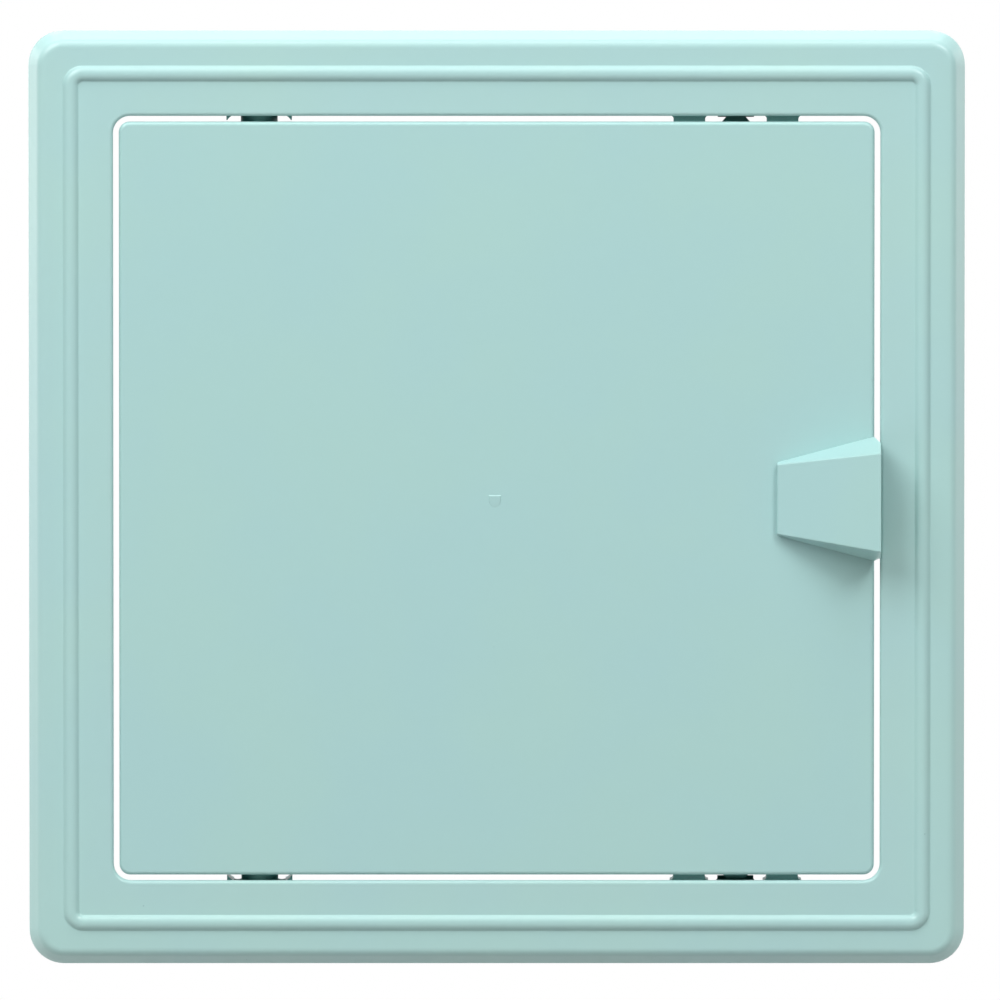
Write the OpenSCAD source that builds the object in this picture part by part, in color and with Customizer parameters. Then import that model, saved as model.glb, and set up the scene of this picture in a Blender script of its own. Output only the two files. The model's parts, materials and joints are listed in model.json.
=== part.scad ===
// Access panel: a face frame with a collar for a square hole in a wall, and a door that turns in it.
// The frame is one moulding and the door is another. Each is drawn here as the parts it is made up of.
// Row frame: +X to the right, +Z up, and the face looks along -Y. The wall's surface is at Y = 0, and the
// origin is the middle of the opening. The modules draw the panel lying on its back, with X to the right,
// Y up and Z towards the viewer, and upright() stands it up.

/* [Collar] */
// Outside width of the square collar, a little less than the hole in the wall
collar_w = 196; // [120:1:300]
// Depth of the collar behind the wall's surface
collar_depth = 25; // [18:1:60]
// Wall thickness of the collar
collar_t = 1.8; // [1.2:0.1:2.2]
// Outside corner radius of the collar
collar_corner_r = 4; // [2.6:0.1:6]
// Height of the barbed ridges that grip the filler in the hole
ridge_h = 0.8; // [0.4:0.1:1.4]
// Length of a ridge's slope
ridge_l = 2; // [1.4:0.1:3.4]
// Distance between the two ridges
ridge_pitch = 6; // [4:0.5:10]
// Thickness of the gussets between the collar and the opening's lip
gusset_t = 1.4; // [1:0.1:2]
// Depth of those gussets
gusset_d = 9; // [6:0.5:14]
// Distance of each gusset from the collar's corner
gusset_inset = 18; // [12:0.5:22]

/* [Flange] */
// How far the face reaches outside the collar
flange_reach = 11; // [9:0.1:16]
// Height of the face above the wall
flange_h = 4.6; // [4.2:0.1:6]
// Corner radius of the face, seen from the front
flange_corner_r = 8; // [6:0.5:12]
// Radius of the round shoulder between the face and its outer side
flange_roll_r = 2.45; // [1.4:0.05:3]
// Lean of the outer side
flange_lean = 33; // [15:1:38]
// Height of the straight foot under the outer side
flange_foot_h = 0.6; // [0.4:0.1:1]
// Wall thickness of the flange
flange_t = 2; // [1.5:0.1:2.4]
// Thickness of the small ribs in the hollow behind the rolled edge
flange_rib_t = 1.2; // [0.8:0.1:1.6]
// Number of those ribs on each side
flange_rib_count = 3; // [1:1:6]

/* [Bead] */
// Distance of the bead's middle line from the outer edge
bead_inset = 9.8; // [8:0.05:11]
// Width of the raised bead
bead_w = 3.5; // [3:0.1:5]
// Height of the raised bead
bead_h = 1; // [0.6:0.1:1.4]
// Corner radius of the bead's middle line
bead_corner_r = 2.8; // [2.6:0.1:5]

/* [Opening] */
// How far the face reaches inside the collar, round the opening
lip_w = 6.9; // [6.2:0.1:9]
// Corner radius of the opening
opening_corner_r = 4; // [2:0.1:6]
// Radius of the opening's front edge
lip_edge_r = 0.9; // [0.3:0.1:1.2]

/* [Door] */
// Gap between the door and the opening
door_gap = 1.35; // [1.1:0.05:1.8]
// Thickness of the leaf
door_t = 2; // [1.6:0.1:2.6]
// Corner radius of the leaf
door_corner_r = 2.5; // [2:0.1:5]
// Radius of the leaf's front edge
door_edge_r = 0.9; // [0.4:0.1:1.4]
// Distance of the stiffening wall from the edge of the leaf
rim_inset = 3; // [2.8:0.1:3.6]
// Thickness of the stiffening wall
rim_t = 1.6; // [1.2:0.1:2.4]
// Height of the stiffening wall behind the leaf
rim_h = 7.6; // [7.4:0.1:12]
// Thickness of the ribs
rib_t = 1.4; // [1:0.1:2]
// Height of the ribs
rib_h = 4.5; // [3:0.1:6]
// Number of ribs each way
rib_count = 2; // [1:1:4]

/* [Hinge] */
// Distance of the hinge axis from the left edge of the opening
hinge_inset = 34; // [26:0.1:45]
// Diameter of the hinge pins
pin_d = 4; // [3:0.1:4.6]
// Length of a hinge pin
pin_l = 6.6; // [5:0.1:7]
// Clearance all round a pin in its bore
pin_clearance = 0.05; // [0.02:0.01:0.1]
// Diameter of the bosses that the pins turn in
boss_d = 8.6; // [7.6:0.1:10]
// Width of a hinge bracket
bracket_w = 15.2; // [14:0.1:18]
// Thickness of the bracket's cheeks and web
bracket_t = 1.6; // [1.2:0.1:2]
// Radius of the hollow between a boss and each cheek
scoop_r = 2.6; // [1.6:0.1:2.8]
// Length of the chamfer at a pin's tip
pin_tip = 0.8; // [0.4:0.1:1.2]

/* [Latch] */
// Distance of the latch's middle from the right edge of the opening
latch_inset = 33.6; // [28:0.1:45]
// Width of one stop bar
stop_w = 7.35; // [5:0.05:9]
// Distance between the middles of a pair of stop bars
stop_spacing = 21.7; // [20:0.1:30]
// Depth of a stop bar behind the leaf
stop_d = 6.2; // [5.6:0.1:9]
// Free space between a stop bar and the stiffening wall
stop_gap = 1.2; // [0.6:0.1:1.6]
// Radius of the fillets between a stop bar and the opening's lip
stop_fillet_r = 0.8; // [0.4:0.1:1]
// Width of the keeper block behind the nib
keeper_w = 8.4; // [6:0.1:9]
// How far the keeper reaches inside the edge of the opening
keeper_reach = 0.6; // [0.3:0.1:0.8]
// Distance from the edge of the opening to the bottom of the slots beside the keeper
slot_inset = 0.7; // [0.5:0.1:1.5]
// Corner radius of those slots
slot_r = 0.8; // [0.4:0.1:1]
// Width of a snap tongue
tongue_w = 7.9; // [6:0.1:10]
// Thickness of a snap tongue
tongue_t = 1.2; // [1:0.1:1.5]
// Free space in which a tongue bends towards the stiffening wall
tongue_room = 0.8; // [0.7:0.1:1]
// Width of the nib at its tip
nib_tip_w = 4; // [2:0.1:5]
// Length of the nib along the tongue
nib_l = 4.1; // [3.6:0.1:5]
// Length of the flat crest of the nib
nib_crest = 1; // [0.4:0.1:1.2]
// Lean of the nib's catching face
nib_lean = 27; // [15:1:30]

/* [Finger grip] */
// Width of the grip's base at its thin end
grip_thin_w = 17.2; // [12:0.1:20]
// Width of the grip's base at its open end
grip_wide_w = 30; // [24:0.5:36]
// Length of the grip
grip_l = 24.1; // [20:0.5:32]
// Height of the thin end above the door
grip_thin_h = 1.6; // [0.6:0.1:2]
// Height of the open end above the door
grip_wide_h = 12; // [10:0.5:16]
// Height of the open end's lower edge above the door
grip_mouth_h = 5; // [3:0.1:7]
// Height of the hollow in the grip at its shallow end
grip_hollow_h = 1.5; // [0.6:0.1:3]
// Lean of the grip's sides
grip_draft = 15.5; // [4:0.1:20]
// Wall thickness of the grip
grip_wall = 1.6; // [1.2:0.1:2]

/* [Fits] */
// Free space between parts of the frame and parts of the door that pass each other
running_gap = 0.3; // [0.2:0.05:0.4]
// Free space between the snap nib and the edge of the opening
nib_clearance = 0.1; // [0.05:0.05:0.2]

/* [Hidden] */

$fn = 96;
FRAME_COLOUR = [0.68, 0.82, 0.81];
DOOR_COLOUR = [0.66, 0.81, 0.80];
FAR = 100;   // longer than anything that a cutter goes through here
CUT = 0.5;   // how far a cutter runs past the face that it opens
ROOT = 0.5;  // how far a rib or wall runs into the moulding that it grows from

// Half sizes of the squares, which all share one middle
collar_half = collar_w / 2;
collar_inner = collar_half - collar_t;
flange_half = collar_half + flange_reach;
opening_half = collar_inner - lip_w;
door_half = opening_half - door_gap;
rim_half = door_half - rim_inset;
bead_half = flange_half - bead_inset;

// Heights above the wall's surface
face_z = flange_h;
flange_back_z = flange_h - flange_t;
door_back_z = face_z - door_t;
pivot_z = door_back_z - running_gap - boss_d / 2;
rim_back_z = door_back_z - rim_h;

// Places along the face
hinge_x = -opening_half + hinge_inset;
latch_x = opening_half - latch_inset;
boss_y = rim_half + running_gap;
nib_y = opening_half - nib_clearance;
cheek_y = door_half + running_gap;

// Where the face's outer side meets its shoulder, and how wide both are together, seen from the front
shoulder_x = flange_roll_r * cos(flange_lean);
shoulder_z = flange_h - flange_roll_r * (1 - sin(flange_lean));
flange_edge_w = shoulder_x + (shoulder_z - flange_foot_h) * tan(flange_lean);

// Turns a shape drawn face up so that it stands with its face along -Y.
module upright() {
    rotate([90, 0, 0]) children();
}

// Gives the part for the top of the panel, or its mirror image for the bottom.
module at_end(top) {
    mirror([0, top ? 0 : 1, 0]) children();
}

// A square with round corners.
module rounded_square(half, r) {
    square([2 * half, 2 * (half - r)], center = true);
    square([2 * (half - r), 2 * half], center = true);
    for (x = [-1, 1], y = [-1, 1])
        translate([x * (half - r), y * (half - r)]) circle(r);
}

// Sweeps a profile round a square ring. The profile's X is the distance outside the ring, its Y the height.
module ring_sweep(half, r) {
    for (turn = [0 : 90 : 270]) rotate(turn) {
        translate([half, half - r, 0]) rotate([90, 0, 0])
            linear_extrude(2 * (half - r)) children();
        translate([half - r, half - r, 0])
            rotate_extrude(angle = 90) translate([r, 0]) children();
    }
}

// A square plate of height h with this profile along its edge, edge_w wide.
module edged_plate(half, corner_r, edge_w, h) {
    linear_extrude(h) rounded_square(half - edge_w, corner_r - edge_w);
    ring_sweep(half - edge_w, corner_r - edge_w) children();
}

// A square plate of height h whose front edge is rolled over to radius roll.
module rolled_plate(half, corner_r, roll, h) {
    edged_plate(half, corner_r, roll, h) difference() {
        translate([-ROOT, 0]) square([ROOT + roll, h]);
        difference() {
            translate([0, h - roll]) square(roll + CUT);
            translate([0, h - roll]) circle(roll);
        }
    }
}

// A square tube of wall thickness t between two heights.
module square_tube(half, corner_r, t, low, high) {
    translate([0, 0, low]) linear_extrude(high - low) difference() {
        rounded_square(half, corner_r);
        rounded_square(half - t, max(corner_r - t, 0.2));
    }
}

// Evenly spread places for count ribs over a width.
function spread(count, width) = [for (i = [1 : count]) (i / (count + 1) - 0.5) * width];

// Frame

module bead_profile() {
    r = (bead_w * bead_w / 4 + bead_h * bead_h) / (2 * bead_h);
    intersection() {
        translate([0, bead_h - r]) circle(r);
        translate([-bead_w / 2, -ROOT]) square([bead_w, bead_h + ROOT]);
    }
}

// What the opening's front edge loses to its radius.
module lip_edge_cut() {
    difference() {
        translate([-CUT, -lip_edge_r]) square([CUT + lip_edge_r, lip_edge_r + CUT]);
        translate([lip_edge_r, -lip_edge_r]) circle(lip_edge_r);
    }
}

// The face before it is hollowed: its outer side leans, and a round shoulder joins that to the front.
module flange_blank() {
    edged_plate(flange_half, flange_corner_r, flange_edge_w, flange_h) {
        polygon([
            [-ROOT, 0], [flange_edge_w, 0], [flange_edge_w, flange_foot_h],
            [shoulder_x, shoulder_z], [0, flange_h], [-ROOT, flange_h]
        ]);
        intersection() {
            translate([0, flange_h - flange_roll_r]) square(flange_roll_r);
            translate([0, flange_h - flange_roll_r]) circle(flange_roll_r);
        }
    }
}

module face_flange() {
    skirt_y = flange_half - flange_t;
    upright() color(FRAME_COLOUR) {
        difference() {
            union() {
                flange_blank();
                translate([0, 0, face_z]) ring_sweep(bead_half, bead_corner_r) bead_profile();
            }
            translate([0, 0, -CUT]) rolled_plate(skirt_y, flange_corner_r - flange_t,
                flange_edge_w - flange_t, flange_back_z + CUT);
            translate([0, 0, -CUT]) linear_extrude(FAR) rounded_square(opening_half, opening_corner_r);
            translate([0, 0, face_z]) ring_sweep(opening_half, opening_corner_r) lip_edge_cut();
        }
        intersection() {
            flange_blank();
            for (turn = [0 : 90 : 270], x = spread(flange_rib_count, collar_w)) rotate(turn)
                translate([x - flange_rib_t / 2, collar_half, running_gap])
                    cube([flange_rib_t, skirt_y + ROOT - collar_half, flange_back_z + ROOT - running_gap]);
        }
    }
}

module wall_collar() {
    gusset_x = collar_half - gusset_inset;
    gusset_w = lip_w - running_gap;
    upright() color(FRAME_COLOUR) {
        square_tube(collar_half, collar_corner_r, collar_t, -collar_depth, flange_back_z);
        for (i = [0 : 1]) translate([0, 0, -collar_depth + ridge_l + i * ridge_pitch])
            ring_sweep(collar_half, collar_corner_r)
                polygon([[-ROOT, 0], [ridge_h, 0], [0, -ridge_l], [-ROOT, -ridge_l]]);
        for (turn = [0 : 90 : 270], x = [-gusset_x, gusset_x]) rotate(turn)
            translate([x - gusset_t / 2, collar_inner, flange_back_z]) rotate([90, 0, 90])
                linear_extrude(gusset_t)
                    polygon([[ROOT, 0], [-gusset_w, 0], [0, -gusset_d], [ROOT, -gusset_d]]);
    }
}

// A hinge bracket: a round boss for the pin, carried by a web between two cheeks.
module hinge_bracket(top) {
    back_z = pivot_z - boss_d / 2;
    scoop_x = (boss_d / 2 + bracket_w / 2 - bracket_t) / 2;
    upright() color(FRAME_COLOUR) at_end(top) translate([hinge_x, 0, 0]) difference() {
        union() {
            difference() {
                union() {
                    for (side = [-1, 1])
                        translate([side * (bracket_w - bracket_t) / 2 - bracket_t / 2, cheek_y, back_z])
                            cube([bracket_t, collar_inner - cheek_y, flange_back_z - back_z]);
                    translate([-bracket_w / 2, cheek_y, pivot_z - bracket_t / 2])
                        cube([bracket_w, collar_inner - cheek_y, bracket_t]);
                }
                for (side = [-1, 1])
                    translate([side * scoop_x, cheek_y - scoop_r / 2, back_z - CUT])
                        cylinder(r = scoop_r, h = FAR);
            }
            translate([0, boss_y, pivot_z]) rotate([-90, 0, 0])
                cylinder(d = boss_d, h = collar_inner - boss_y);
        }
        translate([0, boss_y - CUT, pivot_z]) rotate([-90, 0, 0])
            cylinder(d = pin_d + 2 * pin_clearance, h = pin_l + CUT + running_gap);
    }
}

module upper_hinge_bracket() { hinge_bracket(true); }
module lower_hinge_bracket() { hinge_bracket(false); }

// Fills the corner between a stop bar's side, at X = 0, and the lip's edge, at Y = 0, with a hollow fillet.
module stop_fillet() {
    difference() {
        translate([-ROOT, -stop_fillet_r]) square(stop_fillet_r + ROOT);
        translate([stop_fillet_r, -stop_fillet_r]) circle(stop_fillet_r);
    }
}

// A slot of width w, open at Y = 0, with round corners at its bottom.
module slot(w, depth) {
    translate([-w / 2, -CUT]) square([w, depth - slot_r + CUT]);
    translate([-w / 2 + slot_r, -CUT]) square([w - 2 * slot_r, depth + CUT]);
    for (side = [-1, 1])
        translate([side * (w / 2 - slot_r), depth - slot_r]) circle(slot_r);
}

// A pair of stop bars that the leaf closes against, joined by a plate with the keeper behind the nib.
module catch_part(top) {
    stop_y = rim_half + stop_gap;
    keeper_y = opening_half - keeper_reach;
    inner = (stop_spacing - stop_w) / 2;
    slot_w = inner - keeper_w / 2;
    plate_t = stop_d - nib_l - 2 * running_gap;
    upright() color(FRAME_COLOUR) at_end(top) translate([latch_x, 0, door_back_z - stop_d]) {
        for (side = [-1, 1]) translate([side * stop_spacing / 2, 0, 0]) {
            translate([-stop_w / 2, stop_y, 0]) cube([stop_w, collar_inner - stop_y, stop_d]);
            for (face = [0, 1]) mirror([face, 0, 0])
                translate([stop_w / 2, opening_half, 0]) linear_extrude(stop_d) stop_fillet();
        }
        linear_extrude(plate_t) difference() {
            translate([-inner - ROOT, keeper_y]) square([2 * (inner + ROOT), collar_inner - keeper_y]);
            for (side = [-1, 1])
                translate([side * (inner - slot_w / 2), keeper_y]) slot(slot_w, keeper_reach + slot_inset);
        }
    }
}

module upper_catch() { catch_part(true); }
module lower_catch() { catch_part(false); }

// Door

module door_leaf() {
    reach = rim_half - rim_t;
    upright() color(DOOR_COLOUR) {
        translate([0, 0, door_back_z]) rolled_plate(door_half, door_corner_r, door_edge_r, door_t);
        square_tube(rim_half, door_corner_r, rim_t, rim_back_z, door_back_z + ROOT);
        for (at = spread(rib_count, 2 * reach), turn = [0, 90]) rotate(turn)
            translate([at - rib_t / 2, -reach - ROOT, door_back_z - rib_h])
                cube([rib_t, 2 * (reach + ROOT), rib_h + ROOT]);
    }
}

// A hinge pin that stands on the stiffening wall, with a chamfered tip.
module hinge_pin(top) {
    upright() color(DOOR_COLOUR) at_end(top) translate([hinge_x, rim_half, pivot_z]) rotate([-90, 0, 0]) {
        cylinder(d = pin_d, h = pin_l - pin_tip);
        translate([0, 0, pin_l - pin_tip]) cylinder(d1 = pin_d, d2 = pin_d - pin_tip, h = pin_tip);
    }
}

module upper_hinge_pin() { hinge_pin(true); }
module lower_hinge_pin() { hinge_pin(false); }

// A springy tongue that stands on a foot at the back of the stiffening wall. The nib at its free end, right
// behind the leaf, snaps behind the opening's lip.
module snap_tongue(top) {
    tongue_y = rim_half + tongue_room;
    tip_z = door_back_z - running_gap;
    nib_base = tongue_y + tongue_t;
    nib_h = nib_y - nib_base;
    crest_end = nib_l - nib_h * tan(nib_lean);
    upright() color(DOOR_COLOUR) at_end(top) translate([latch_x, 0, 0]) {
        translate([-tongue_w / 2, rim_half, rim_back_z]) cube([tongue_w, tongue_room + ROOT, tongue_t]);
        translate([-tongue_w / 2, tongue_y, rim_back_z]) cube([tongue_w, tongue_t, tip_z - rim_back_z]);
        translate([0, 0, tip_z - nib_l]) intersection() {
            linear_extrude(nib_l) polygon([
                [-tongue_w / 2, nib_base - ROOT], [-tongue_w / 2, nib_base], [-nib_tip_w / 2, nib_y],
                [nib_tip_w / 2, nib_y], [tongue_w / 2, nib_base], [tongue_w / 2, nib_base - ROOT]
            ]);
            translate([-tongue_w / 2, nib_base, 0]) rotate([90, 0, 90]) linear_extrude(tongue_w) polygon([
                [-ROOT, 0], [0, 0], [nib_h, crest_end - nib_crest],
                [nib_h, crest_end], [0, nib_l], [-ROOT, nib_l]
            ]);
        }
    }
}

module upper_snap_tongue() { snap_tongue(true); }
module lower_snap_tongue() { snap_tongue(false); }

// Finger grip

grip_end_x = opening_half + nib_clearance;
grip_start_x = grip_end_x - grip_l;
grip_slope = atan((grip_wide_h - grip_thin_h) / grip_l);
grip_taper = atan((grip_wide_w - grip_thin_w) / 2 / grip_l);

// Height above the wall's surface of the grip's face at x, less a wall thickness.
function grip_top(x, wall) =
    face_z + grip_thin_h + (x - grip_start_x) * tan(grip_slope) - wall / cos(grip_slope);

// Trims a bar to the grip's leaning sides, moved in by a wall thickness.
module grip_sides(wall) {
    difference() {
        children();
        for (side = [0, 1]) mirror([0, side, 0])
            translate([grip_start_x, grip_thin_w / 2, face_z]) rotate([grip_draft, 0, grip_taper])
                translate([-FAR, -wall, -FAR]) cube([3 * FAR, FAR, 3 * FAR]);
    }
}

// A bar across the grip with this outline, seen from below.
module grip_bar(outline) {
    translate([0, grip_wide_w, 0]) rotate([90, 0, 0]) linear_extrude(2 * grip_wide_w) polygon(outline);
}

module finger_grip() {
    mouth_z = face_z + grip_mouth_h;
    hollow_x = grip_start_x + (grip_hollow_h - grip_thin_h + grip_wall / cos(grip_slope)) / tan(grip_slope);
    past_x = grip_end_x + CUT;
    upright() color(DOOR_COLOUR) difference() {
        grip_sides(0) grip_bar([
            [grip_start_x, face_z], [door_half, face_z], [grip_end_x, mouth_z],
            [grip_end_x, grip_top(grip_end_x, 0)], [grip_start_x, grip_top(grip_start_x, 0)]
        ]);
        grip_sides(grip_wall) grip_bar([
            [hollow_x, face_z - CUT], [past_x, face_z - CUT],
            [past_x, grip_top(past_x, grip_wall)], [hollow_x, grip_top(hollow_x, grip_wall)]
        ]);
    }
}

face_flange();
wall_collar();
upper_hinge_bracket();
lower_hinge_bracket();
upper_catch();
lower_catch();
door_leaf();
finger_grip();
upper_hinge_pin();
lower_hinge_pin();
upper_snap_tongue();
lower_snap_tongue();
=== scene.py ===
"""Dresses the access panel in satin mint plastic and sets it in a plain, pale studio.

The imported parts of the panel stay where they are. This script rounds their edges, gives each its moulded
finish, adds the marks that the mould leaves, and makes the lights, the floor and the camera.
+X is to the right, +Z is up, and the face looks along -Y. All lengths are in metres, apart from the fields
whose names end in mm or px.
"""

import json
import logging
import math
from dataclasses import dataclass, field
from enum import Enum
from typing import Any, Sequence, Union

import bpy
import bmesh
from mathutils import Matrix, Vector

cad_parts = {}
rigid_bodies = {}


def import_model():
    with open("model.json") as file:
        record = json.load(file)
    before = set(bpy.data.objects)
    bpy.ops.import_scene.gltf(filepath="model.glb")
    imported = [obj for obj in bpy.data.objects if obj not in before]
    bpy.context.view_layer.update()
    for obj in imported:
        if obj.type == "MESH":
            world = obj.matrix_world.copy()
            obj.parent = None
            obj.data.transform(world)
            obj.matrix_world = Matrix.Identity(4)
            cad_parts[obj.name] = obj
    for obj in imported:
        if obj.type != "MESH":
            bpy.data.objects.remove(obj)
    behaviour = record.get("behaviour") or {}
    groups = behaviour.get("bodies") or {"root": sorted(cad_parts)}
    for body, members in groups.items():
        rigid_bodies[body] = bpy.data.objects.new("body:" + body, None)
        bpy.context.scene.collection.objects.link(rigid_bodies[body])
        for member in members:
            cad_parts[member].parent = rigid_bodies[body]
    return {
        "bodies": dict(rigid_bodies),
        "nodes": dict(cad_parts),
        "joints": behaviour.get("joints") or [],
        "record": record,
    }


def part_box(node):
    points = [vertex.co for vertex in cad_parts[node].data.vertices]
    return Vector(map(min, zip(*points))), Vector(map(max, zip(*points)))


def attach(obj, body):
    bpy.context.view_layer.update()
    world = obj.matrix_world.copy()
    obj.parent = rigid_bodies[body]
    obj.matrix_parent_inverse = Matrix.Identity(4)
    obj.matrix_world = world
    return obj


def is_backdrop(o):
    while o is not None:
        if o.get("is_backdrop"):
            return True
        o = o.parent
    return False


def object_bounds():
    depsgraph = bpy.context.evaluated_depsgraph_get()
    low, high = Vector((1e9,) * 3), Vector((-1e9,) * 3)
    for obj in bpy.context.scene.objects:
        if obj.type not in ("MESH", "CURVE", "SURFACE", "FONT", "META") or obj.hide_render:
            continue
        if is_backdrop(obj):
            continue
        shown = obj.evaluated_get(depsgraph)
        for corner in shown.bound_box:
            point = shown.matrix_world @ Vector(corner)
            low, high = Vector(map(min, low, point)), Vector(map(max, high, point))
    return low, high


LOG = logging.getLogger("access_panel")
MM = 0.001
NOISE_MEAN = 0.5
SHARP_DEGREES = 20.0
# Numbers of the Mix node's sockets for colours, because several of its sockets share a name.
MIX_SHARE, MIX_FIRST, MIX_SECOND, MIX_RESULT = 0, 6, 7, 2

Colour = tuple[float, float, float]
Range = tuple[float, float]
Rgba = tuple[float, float, float, float]


class Body(Enum):
    """The two mouldings, each a body that moves as one."""

    FRAME = "frame"
    DOOR = "door"


class Slot(Enum):
    """The record's material slots."""

    FRAME = "frame_plastic"
    DOOR = "door_plastic"


class Field:
    """A number that varies over a surface: a socket on which Python's operators make Math nodes."""

    def __init__(self, shader: "Shader", socket: bpy.types.NodeSocket) -> None:
        """Wraps one output socket of a shader's tree."""
        self.shader = shader
        self.socket = socket

    def _math(self, operation: str, first: Any, second: Any) -> "Field":
        """Adds a Math node for an expression of two values."""
        return self.shader.field("ShaderNodeMath", {"operation": operation}, {0: first, 1: second})

    def __add__(self, other: Any) -> "Field":
        """self + other."""
        return self._math("ADD", self, other)

    __radd__ = __add__

    def __sub__(self, other: Any) -> "Field":
        """self - other."""
        return self._math("SUBTRACT", self, other)

    def __rsub__(self, other: Any) -> "Field":
        """other - self."""
        return self._math("SUBTRACT", other, self)

    def __mul__(self, other: Any) -> "Field":
        """self * other."""
        return self._math("MULTIPLY", self, other)

    __rmul__ = __mul__

    def at_least(self, other: Any) -> "Field":
        """The larger of the two."""
        return self._math("MAXIMUM", self, other)

    def step(self, low: float, high: float) -> "Field":
        """Rises smoothly from 0 at low to 1 at high."""
        return self.shader.field(
            "ShaderNodeMapRange",
            {"interpolation_type": "SMOOTHSTEP"},
            {"Value": self, "From Min": low, "From Max": high},
        )


class Shader:
    """A material's or world's node tree under construction."""

    def __init__(self, tree: bpy.types.NodeTree) -> None:
        """Empties the tree.

        Args:
            tree: The node tree of a material or world, with its nodes in use.
        """
        self.tree = tree
        tree.nodes.clear()

    def node(self, kind: str, settings: dict[str, Any], inputs: dict[Any, Any]) -> bpy.types.Node:
        """Makes one node.

        Args:
            kind: The node's type name.
            settings: Properties of the node, set before its sockets.
            inputs: Value or link of each socket, by the socket's name or number.

        Returns:
            The new node.
        """
        made = self.tree.nodes.new(kind)
        for name, value in settings.items():
            setattr(made, name, value)
        for key, value in inputs.items():
            source = value.socket if isinstance(value, Field) else value
            if isinstance(source, bpy.types.NodeSocket):
                self.tree.links.new(source, made.inputs[key])
            else:
                made.inputs[key].default_value = source
        return made

    def field(self, kind: str, settings: dict[str, Any], inputs: dict[Any, Any], output: Any = 0) -> Field:
        """Makes one node and wraps one of its outputs.

        Args:
            kind: The node's type name.
            settings: Properties of the node.
            inputs: Value or link of each socket.
            output: Name or number of the output to wrap.

        Returns:
            The wrapped output.
        """
        return Field(self, self.node(kind, settings, inputs).outputs[output])

    def noise(self, place: bpy.types.NodeSocket, size_mm: float, detail: float) -> Field:
        """Noise whose features are about size_mm wide."""
        return self.field(
            "ShaderNodeTexNoise",
            {"noise_dimensions": "3D"},
            {"Vector": place, "Scale": 1 / (size_mm * MM), "Detail": detail},
        )

    def mix(self, share: Field, first: Any, second: Any) -> bpy.types.NodeSocket:
        """A colour that goes from first to second as share goes from 0 to 1."""
        inputs = {MIX_SHARE: share, MIX_FIRST: first, MIX_SECOND: second}
        return self.node("ShaderNodeMix", {"data_type": "RGBA"}, inputs).outputs[MIX_RESULT]

    def blend(self, share: Any, first: bpy.types.Node, second: bpy.types.Node) -> bpy.types.Node:
        """A surface that goes from first to second as share goes from 0 to 1."""
        return self.node("ShaderNodeMixShader", {}, {0: share, 1: first.outputs[0], 2: second.outputs[0]})


def rgba(colour: Colour) -> Rgba:
    """A colour with full opacity."""
    return (*colour, 1.0)


def grey(level: float) -> Rgba:
    """A grey of this level with full opacity; 1 is white."""
    return rgba((level, level, level))


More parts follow.
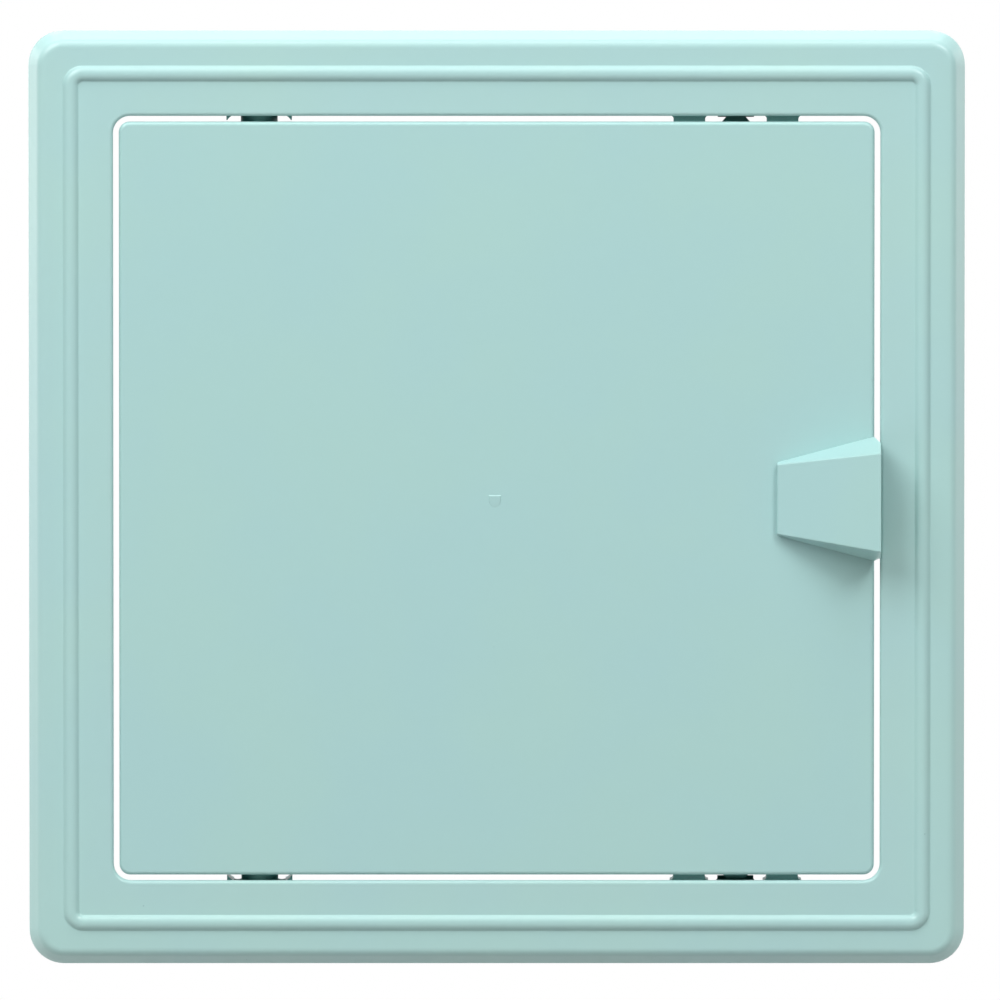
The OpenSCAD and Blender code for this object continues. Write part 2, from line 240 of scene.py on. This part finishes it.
@dataclass(frozen=True)
class PlasticFinish:
    """Satin injection-moulded plastic, a little uneven in colour and gloss, and duller on its back.

    The front comes from the polished half of the mould. The faces that look back into the wall come from
    the other half, which is only spark-eroded, so they are duller and have a coarser grain.
    """

    name: str
    slot: Slot
    colour: Colour
    shade: Colour
    speck: Colour
    ior: float = 1.5
    gloss: float = 0.5
    roughness: float = 0.32
    back_roughness: float = 0.55
    back_range: Range = (0.35, 0.65)
    grain_mm: float = 0.12
    grain_depth_mm: float = 0.0016
    grain_detail: float = 2.0
    grain_dulling: float = 0.08
    eroded_mm: float = 0.35
    eroded_depth_mm: float = 0.007
    wave_mm: float = 24.0
    wave_depth_mm: float = 0.006
    wave_detail: float = 1.0
    cloud_mm: float = 45.0
    cloud_detail: float = 3.0
    cloud_range: Range = (0.3, 0.7)
    cloud_dulling: float = 0.05
    speck_cell_mm: float = 12.0
    speck_radius_mm: Range = (0.10, 0.24)

    def build(self) -> bpy.types.Material:
        """Makes the material.

        Returns:
            The material, with its detail in real millimetres.
        """
        material = bpy.data.materials.new(self.name)
        material.use_nodes = True
        shader = Shader(material.node_tree)
        coordinates = shader.node("ShaderNodeTexCoord", {}, {})
        place = coordinates.outputs["Object"]
        facing = shader.field("ShaderNodeSeparateXYZ", {}, {0: coordinates.outputs["Normal"]}, "Y")
        back = facing.step(*self.back_range)
        cloud = shader.noise(place, self.cloud_mm, self.cloud_detail)
        grain = shader.noise(place, self.grain_mm, self.grain_detail)
        eroded = shader.noise(place, self.eroded_mm, self.grain_detail)
        wave = shader.noise(place, self.wave_mm, self.wave_detail)
        height = (
            grain * self.grain_depth_mm + wave * self.wave_depth_mm + eroded * back * self.eroded_depth_mm
        )
        relief = shader.node("ShaderNodeBump", {}, {"Height": height, "Strength": 1.0, "Distance": MM})
        roughness = (
            self.roughness
            + back * (self.back_roughness - self.roughness)
            + (grain - NOISE_MEAN) * self.grain_dulling
            + (cloud - NOISE_MEAN) * self.cloud_dulling
        )
        surface = shader.node(
            "ShaderNodeBsdfPrincipled",
            {},
            {
                "Base Color": self._base(shader, place, cloud),
                "Roughness": roughness,
                "IOR": self.ior,
                "Specular IOR Level": self.gloss,
                "Normal": relief.outputs[0],
            },
        )
        shader.node("ShaderNodeOutputMaterial", {}, {"Surface": surface.outputs[0]})
        return material

    def _base(self, shader: Shader, place: bpy.types.NodeSocket, cloud: Field) -> bpy.types.NodeSocket:
        """The plastic's colour: faintly cloudy, with a few specks of darker pigment.

        Args:
            shader: The material's tree.
            place: The place on the piece.
            cloud: The noise that makes the clouds.

        Returns:
            The colour.
        """
        nearest = shader.field(
            "ShaderNodeTexVoronoi",
            {"feature": "F1"},
            {"Vector": place, "Scale": 1 / (self.speck_cell_mm * MM)},
            "Distance",
        )
        low, high = (radius / self.speck_cell_mm for radius in self.speck_radius_mm)
        plain = shader.mix(cloud.step(*self.cloud_range), rgba(self.colour), rgba(self.shade))
        return shader.mix(1 - nearest.step(low, high), plain, rgba(self.speck))


@dataclass(frozen=True)
class PaintedShadeFinish(PlasticFinish):
    """The same plastic on the small parts behind the gap, with painted shade that darkens it where other
    parts close it in.
    """

    gloss: float = 0.1
    # depth is the painted shade colour that the closed-in faces take on.
    depth: Colour = (0.03, 0.19, 0.18)
    reach_mm: float = 8.0
    open_share: float = 0.95
    rays: int = 8

    def _base(self, shader: Shader, place: bpy.types.NodeSocket, cloud: Field) -> bpy.types.NodeSocket:
        """The plastic's colour with painted shade, going to the dark depth colour as ambient occlusion closes
        in.

        Args:
            shader: The material's tree.
            place: The place on the piece.
            cloud: The noise that makes the clouds.

        Returns:
            The colour.
        """
        plain = super()._base(shader, place, cloud)
        # Ambient occlusion paints shade into the colour of the faces that other parts close in.
        free = shader.field(
            "ShaderNodeAmbientOcclusion", {"samples": self.rays}, {"Distance": self.reach_mm * MM}, "AO"
        )
        return shader.mix(free.step(0.0, self.open_share), rgba(self.depth), plain)


@dataclass
class EdgeRounding:
    """The small radius that a mould's cutter leaves on every edge."""

    radius_mm: float = 0.25
    segments: int = 3
    from_degrees: float = 35.0
    weld_mm: float = 0.0005
    flat_degrees: float = 0.5

    def apply(self, piece: bpy.types.Object) -> None:
        """Adds the modifiers that round a part's edges and even out its shading.

        Args:
            piece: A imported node, whose own mesh stays as it is.
        """
        weld = piece.modifiers.new("weld", "WELD")
        weld.merge_threshold = self.weld_mm * MM
        flat = piece.modifiers.new("flat_faces", "DECIMATE")
        flat.decimate_type = "DISSOLVE"
        flat.angle_limit = math.radians(self.flat_degrees)
        bevel = piece.modifiers.new("edge_radius", "BEVEL")
        bevel.width = self.radius_mm * MM
        bevel.segments = self.segments
        bevel.limit_method = "ANGLE"
        bevel.angle_limit = math.radians(self.from_degrees)
        bevel.miter_outer = "MITER_ARC"
        normals = piece.modifiers.new("even_normals", "WEIGHTED_NORMAL")
        normals.keep_sharp = True


def add_object(name: str, shape: bmesh.types.BMesh) -> bpy.types.Object:
    """Turns a finished bmesh into an object in the scene.

    Args:
        name: The object's name.
        shape: The bmesh, which is freed here.

    Returns:
        The new object, smooth-shaded where its faces meet at less than SHARP_DEGREES.
    """
    bmesh.ops.recalc_face_normals(shape, faces=shape.faces)
    mesh = bpy.data.meshes.new(name)
    shape.to_mesh(mesh)
    shape.free()
    mesh.shade_smooth()
    mesh.set_sharp_from_angle(angle=math.radians(SHARP_DEGREES))
    made = bpy.data.objects.new(name, mesh)
    bpy.context.scene.collection.objects.link(made)
    return made


def add_pad(shape: bmesh.types.BMesh, rings: Sequence[Sequence[Vector]]) -> None:
    """Adds a closed pad made of rings of equal length, from its foot to its top.

    Args:
        shape: The bmesh that gets the pad.
        rings: The corners of each ring, in order, all rings starting at the same corner.
    """
    loops = [[shape.verts.new(corner) for corner in ring] for ring in rings]
    for low, high in zip(loops, loops[1:]):
        for i in range(len(low)):
            after = (i + 1) % len(low)
            shape.faces.new((low[i], low[after], high[after], high[i]))
    shape.faces.new(loops[-1])
    shape.faces.new(list(reversed(loops[0])))


@dataclass
class Moulding:
    """One moulding of the panel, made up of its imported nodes, and what the mould leaves on it."""

    body: Body
    finish: PlasticFinish
    # The finish of the small parts behind the gap, with painted shade where parts close them in.
    painted_gap_shade: PaintedShadeFinish
    rounding: EdgeRounding = field(default_factory=EdgeRounding)

    def dress(self, frame: dict[str, Any], painted_shade_nodes: Sequence[str]) -> bpy.types.Material:
        """Rounds the edges of the moulding's nodes and gives them their finish.

        Args:
            painted_shade_nodes: Names of the small nodes behind the gap, which get the finish with painted
                shade.

        Returns:
            The moulding's main material.
        """
        material = self.finish.build()
        inner = self.painted_gap_shade.build()
        for name in frame["record"]["behaviour"]["bodies"][self.body.value]:
            piece = frame["nodes"][name]
            # The small nodes behind the gap get painted shade in their colour.
            coat = inner if name in painted_shade_nodes else material
            piece.data.materials.clear()
            piece.data.materials.append(coat)
            self.rounding.apply(piece)
            LOG.info("%s dressed in %s", name, coat.name)
        return material

    def add(self, piece: bpy.types.Object, material: bpy.types.Material) -> None:
        """Fixes a new piece to the moulding and gives it a finish.

        Args:
            piece: The new piece, already in its place.
            material: The moulding's main material.
        """
        piece.data.materials.append(material)
        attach(piece, self.body.value)
        LOG.info("%s added to the %s", piece.name, self.body.value)


@dataclass
class GateMark:
    """What is left of the gate in the middle of the leaf: a low wedge with a straight top edge."""

    width_mm: float = 2.95
    height_mm: float = 3.0
    top_mm: float = 0.9
    left_mm: float = 0.45
    proud_top_mm: float = 0.17
    proud_foot_mm: float = 0.03
    top_slope_mm: float = 0.26
    side_slope_mm: float = 0.2
    sunk_mm: float = 0.03
    straight_share: float = 0.35
    round_steps: int = 20

    def build(self) -> bpy.types.Object:
        """Makes the mark on the leaf's face.

        Returns:
            The mark.
        """
        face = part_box("door_leaf")[0].y
        foot = [Vector((x, face + self.sunk_mm * MM, z)) for x, z in self._outline(0.0)]
        crest = [Vector((x, face - self._proud(z), z)) for x, z in self._outline(1.0)]
        shape = bmesh.new()
        add_pad(shape, [foot, crest])
        return add_object("door_gate_mark", shape)

    def _proud(self, z: float) -> float:
        """How far the wedge stands out from the leaf at this z."""
        share = (z / MM - self.top_mm) / self.height_mm + 1
        return (self.proud_foot_mm + share * (self.proud_top_mm - self.proud_foot_mm)) * MM

    def _outline(self, slope: float) -> list[tuple[float, float]]:
        """The outline of the mark.

        Args:
            slope: Share of the slopes along its edges by which it is moved in.

        Returns:
            X and Z of its corners.
        """
        inset = slope * self.side_slope_mm
        half = self.width_mm / 2 - inset
        top = self.top_mm - slope * self.top_slope_mm
        shoulder = self.top_mm - self.height_mm * self.straight_share
        drop = self.height_mm * (1 - self.straight_share) - inset
        corners = [(half, top)]
        for i in range(self.round_steps + 1):
            turn = math.pi * i / self.round_steps
            corners.append((half * math.cos(turn), shoulder - drop * math.sin(turn)))
        corners.append((-half, top))
        return [((x - self.left_mm) * MM, z * MM) for x, z in corners]


@dataclass
class EjectorMarks:
    """The round marks that the mould's ejector pins leave on the back of a moulding."""

    diameter_mm: float = 4.0
    proud_mm: float = 0.12
    slope_mm: float = 0.12
    sunk_mm: float = 0.03
    sides: int = 40

    def build(self, name: str, back: float, places: Sequence[tuple[float, float]]) -> bpy.types.Object:
        """Makes the marks as one piece.

        Args:
            name: The piece's name.
            back: Depth of the surface that they stand on.
            places: X and Z of each mark.

        Returns:
            The marks.
        """
        shape = bmesh.new()
        radius = self.diameter_mm / 2
        for x, z in places:
            foot = self._ring(x, z, back - self.sunk_mm * MM, radius)
            crest = self._ring(x, z, back + self.proud_mm * MM, radius - self.slope_mm)
            add_pad(shape, [foot, crest])
        return add_object(name, shape)

    def _ring(self, x: float, z: float, y: float, radius_mm: float) -> list[Vector]:
        """A circle of this radius at this depth.

        Args:
            x: X of its middle.
            z: Z of its middle.
            y: Its depth.
            radius_mm: Its radius in millimetres.

        Returns:
            Its corners.
        """
        turns = [2 * math.pi * i / self.sides for i in range(self.sides)]
        return [
            Vector((x + radius_mm * MM * math.cos(turn), y, z + radius_mm * MM * math.sin(turn)))
            for turn in turns
        ]


@dataclass
class FrameMoulding(Moulding):
    """The face frame with its collar, hinge brackets and catches."""

    mark_places_mm: tuple[float, ...] = (-72.0, -24.0, 24.0, 75.0)
    mark_shift_mm: float = 0.5
    # The small nodes behind the gap, whose colour gets painted shade.
    painted_shade_nodes: tuple[str, ...] = (
        "upper_hinge_bracket", "lower_hinge_bracket", "upper_catch", "lower_catch",
    )

    def finish_off(self, frame: dict[str, Any]) -> None:
        """Dresses the frame and adds the ejector marks on the back of the lip.
        """
        material = self.dress(frame, self.painted_shade_nodes)
        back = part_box("wall_collar")[0].y
        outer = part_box("upper_hinge_bracket")[1].z
        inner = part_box("door_leaf")[1].z
        middle = (outer + inner) / 2 + self.mark_shift_mm * MM
        along = [(place * MM, middle) for place in self.mark_places_mm]
        places = [spot for x, z in along for spot in ((x, z), (x, -z), (z, x), (-z, x))]
        self.add(EjectorMarks().build("frame_ejector_marks", back, places), material)


@dataclass
class DoorMoulding(Moulding):
    """The door leaf with its grip, pins and tongues."""

    mark_places_mm: tuple[float, ...] = (-68.0, -40.0, -14.0, 14.0, 40.0, 68.0)
    leaf_t_mm: float = 2.0
    # The small nodes behind the gap, whose colour gets painted shade.
    painted_shade_nodes: tuple[str, ...] = (
        "upper_hinge_pin", "lower_hinge_pin", "upper_snap_tongue", "lower_snap_tongue",
    )

    def finish_off(self, frame: dict[str, Any]) -> None:
        """Dresses the door and adds the gate mark and, on its back, the ejector marks.
        """
        material = self.dress(frame, self.painted_shade_nodes)
        self.add(GateMark().build(), material)
        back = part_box("door_leaf")[0].y + self.leaf_t_mm * MM
        places = [(x * MM, z * MM) for x in self.mark_places_mm for z in self.mark_places_mm]
        self.add(EjectorMarks().build("door_ejector_marks", back, places), material)


@dataclass(frozen=True)
class SoftBox:
    """A rectangular soft light that is aimed at the panel."""

    name: str
    place: tuple[float, float, float]
    size: tuple[float, float]
    power: float

    def build(self) -> None:
        """Hangs the light."""
        data = bpy.data.lights.new(self.name, "AREA")
        data.shape = "RECTANGLE"
        data.size, data.size_y = self.size
        data.energy = self.power
        lamp = bpy.data.objects.new(self.name, data)
        lamp.location = self.place
        lamp.rotation_mode = "QUATERNION"
        lamp.rotation_quaternion = (-lamp.location).to_track_quat("-Z", "Y")
        bpy.context.scene.collection.objects.link(lamp)


LIGHTS = (
    SoftBox("key", (-1.0, -1.25, 1.4), (1.2, 1.2), 32.6),
    SoftBox("fill", (0.9, -1.3, 1.3), (0.7, 0.7), 17.9),
    SoftBox("over_front", (0.0, -0.5, 1.3), (1.0, 0.6), 7.0),
    SoftBox("over_middle", (0.0, 0.5, 1.25), (1.2, 0.7), 3.0),
    SoftBox("over_back", (0.0, 0.9, 1.1), (1.2, 0.7), 5.0),
    SoftBox("left_back", (-1.3, 0.5, 0.3), (0.8, 0.8), 6.0),
    SoftBox("right_back", (1.3, 0.5, 0.3), (0.8, 0.8), 4.0),
)


def seen_ray(shader: Shader, mirrored: Union[float, Field] = 1.0) -> Field:
    """Tells rays that see the surroundings from rays that only light the panel.

    Args:
        shader: The tree of the world or the floor.
        mirrored: Share of what mirrored rays see.

    Returns:
        1 for a ray from the camera or through glass, the share for a mirrored one, and 0 for one that lights.
    """
    path = shader.node("ShaderNodeLightPath", {}, {})
    camera = Field(shader, path.outputs["Is Camera Ray"])
    glossy = Field(shader, path.outputs["Is Glossy Ray"])
    clear = Field(shader, path.outputs["Is Transmission Ray"])
    return camera.at_least(glossy * mirrored).at_least(clear)


@dataclass
class Studio:
    """White surroundings, soft lights, a pale floor and the camera."""

    picture_width: float = 0.23293
    distance: float = 6.0
    elevation_deg: float = 4.4
    offset_px: tuple[float, float] = (3.3, 1.2)
    pixels: int = 1000
    sensor_mm: float = 36.0
    clip: Range = (0.1, 40.0)
    front_glow: float = 0.05
    rear_glow: float = 0.25
    border: float = 0.2
    floor_drop: float = 0.09
    floor_size: float = 14.0
    floor_seen: float = 0.95
    floor_thrown: float = 0.34
    floor_fade: Range = (0.35, 0.75)

    def build(self, lowest: float) -> None:
        """Makes the world, the lights, the floor and the camera.

        Args:
            lowest: Height of the panel's lowest point.
        """
        scene = bpy.context.scene
        scene.view_settings.view_transform = "Standard"
        self._world(scene)
        for light in LIGHTS:
            light.build()
        self._floor(lowest - self.floor_drop)
        self._camera(scene)

    def _world(self, scene: bpy.types.Scene) -> None:
        """White where it is seen, and where it lights a soft grey that differs in front and behind.

        A mirrored ray sees the white behind the panel and the grey in front of it.

        Args:
            scene: The scene that gets the world.
        """
        world = bpy.data.worlds.new("surroundings")
        world.use_nodes = True
        scene.world = world
        shader = Shader(world.node_tree)
        direction = shader.node("ShaderNodeTexCoord", {}, {}).outputs["Generated"]
        depth = shader.field("ShaderNodeSeparateXYZ", {}, {0: direction}, "Y")
        behind = depth.step(-self.border, self.border)
        glow = behind * (self.rear_glow - self.front_glow) + self.front_glow
        seen = seen_ray(shader, behind)
        strength = seen + (1 - seen) * glow
        light = shader.node("ShaderNodeBackground", {}, {"Color": grey(1.0), "Strength": strength})
        shader.node("ShaderNodeOutputWorld", {}, {"Surface": light.outputs[0]})

    def _floor(self, height: float) -> None:
        """Lays a pale floor that keeps the shadow near the panel and fades into the white further out.

        Args:
            height: Z of the floor.
        """
        half = self.floor_size / 2
        corners = [(x, y, height) for x, y in ((-half, -half), (half, -half), (half, half), (-half, half))]
        mesh = bpy.data.meshes.new("floor")
        mesh.from_pydata(corners, [], [tuple(range(len(corners)))])
        floor = bpy.data.objects.new("floor", mesh)
        bpy.context.scene.collection.objects.link(floor)
        floor.data.materials.append(self._floor_material())
        floor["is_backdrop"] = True

    def _floor_material(self) -> bpy.types.Material:
        """Matt white near the panel, plain white light beyond, and nothing from below.

        Returns:
            The material, which throws back less light than it shows.
        """
        material = bpy.data.materials.new("pale_floor")
        material.use_nodes = True
        shader = Shader(material.node_tree)
        spot = shader.node("ShaderNodeNewGeometry", {}, {})
        length = {0: spot.outputs["Position"]}
        reach = shader.field("ShaderNodeVectorMath", {"operation": "LENGTH"}, length, "Value")
        matt = shader.node("ShaderNodeBsdfDiffuse", {}, {"Color": grey(self.floor_seen)})
        dim = shader.node("ShaderNodeBsdfDiffuse", {}, {"Color": grey(self.floor_thrown)})
        white = shader.node("ShaderNodeEmission", {}, {"Color": grey(1.0), "Strength": 1.0})
        clear = shader.node("ShaderNodeBsdfTransparent", {}, {})
        shown = shader.blend(reach.step(*self.floor_fade), matt, white)
        top = shader.blend(seen_ray(shader), dim, shown)
        both = shader.blend(spot.outputs["Backfacing"], top, clear)
        shader.node("ShaderNodeOutputMaterial", {}, {"Surface": both.outputs[0]})
        return material

    def _camera(self, scene: bpy.types.Scene) -> None:
        """Sets up a long lens, square to the panel and a little above it.

        Args:
            scene: The scene that gets the camera.
        """
        data = bpy.data.cameras.new("camera")
        data.sensor_width = self.sensor_mm
        data.lens = data.sensor_width * self.distance / self.picture_width
        data.clip_start, data.clip_end = self.clip
        camera = bpy.data.objects.new("camera", data)
        scene.collection.objects.link(camera)
        tilt = math.radians(self.elevation_deg)
        back = Vector((0, -math.cos(tilt), math.sin(tilt)))
        up = Vector((0, math.sin(tilt), math.cos(tilt)))
        pixel = self.picture_width / self.pixels
        right_px, down_px = self.offset_px
        aim = Vector((right_px * pixel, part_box("door_leaf")[0].y, 0)) - up * down_px * pixel
        camera.location = aim + back * self.distance
        camera.rotation_euler = (math.pi / 2 - tilt, 0, 0)
        scene.camera = camera


# The plastic's colour, its cloudy shade and its specks.
FRAME_TONES = ((0.405, 0.629, 0.599), (0.396, 0.619, 0.613), (0.29, 0.49, 0.48))
DOOR_TONES = ((0.397, 0.626, 0.596), (0.388, 0.616, 0.610), (0.29, 0.49, 0.48))


def main() -> None:
    """Builds the dressed panel and its studio."""
    logging.basicConfig(level=logging.INFO, format="%(message)s")
    for thing in list(bpy.data.objects):
        bpy.data.objects.remove(thing)
    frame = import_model()
    cad_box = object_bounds()
    FrameMoulding(
        Body.FRAME,
        PlasticFinish("frame_mint", Slot.FRAME, *FRAME_TONES),
        # This finish paints shade into the small frame parts behind the gap.
        PaintedShadeFinish("frame_mint_behind_gap", Slot.FRAME, *FRAME_TONES),
    ).finish_off(frame)
    DoorMoulding(
        Body.DOOR,
        PlasticFinish("door_mint", Slot.DOOR, *DOOR_TONES),
        # This finish paints shade into the small door parts behind the gap.
        PaintedShadeFinish("door_mint_behind_gap", Slot.DOOR, *DOOR_TONES),
    ).finish_off(frame)
    Studio().build(cad_box[0].z)


if __name__ == "__main__":
    main()
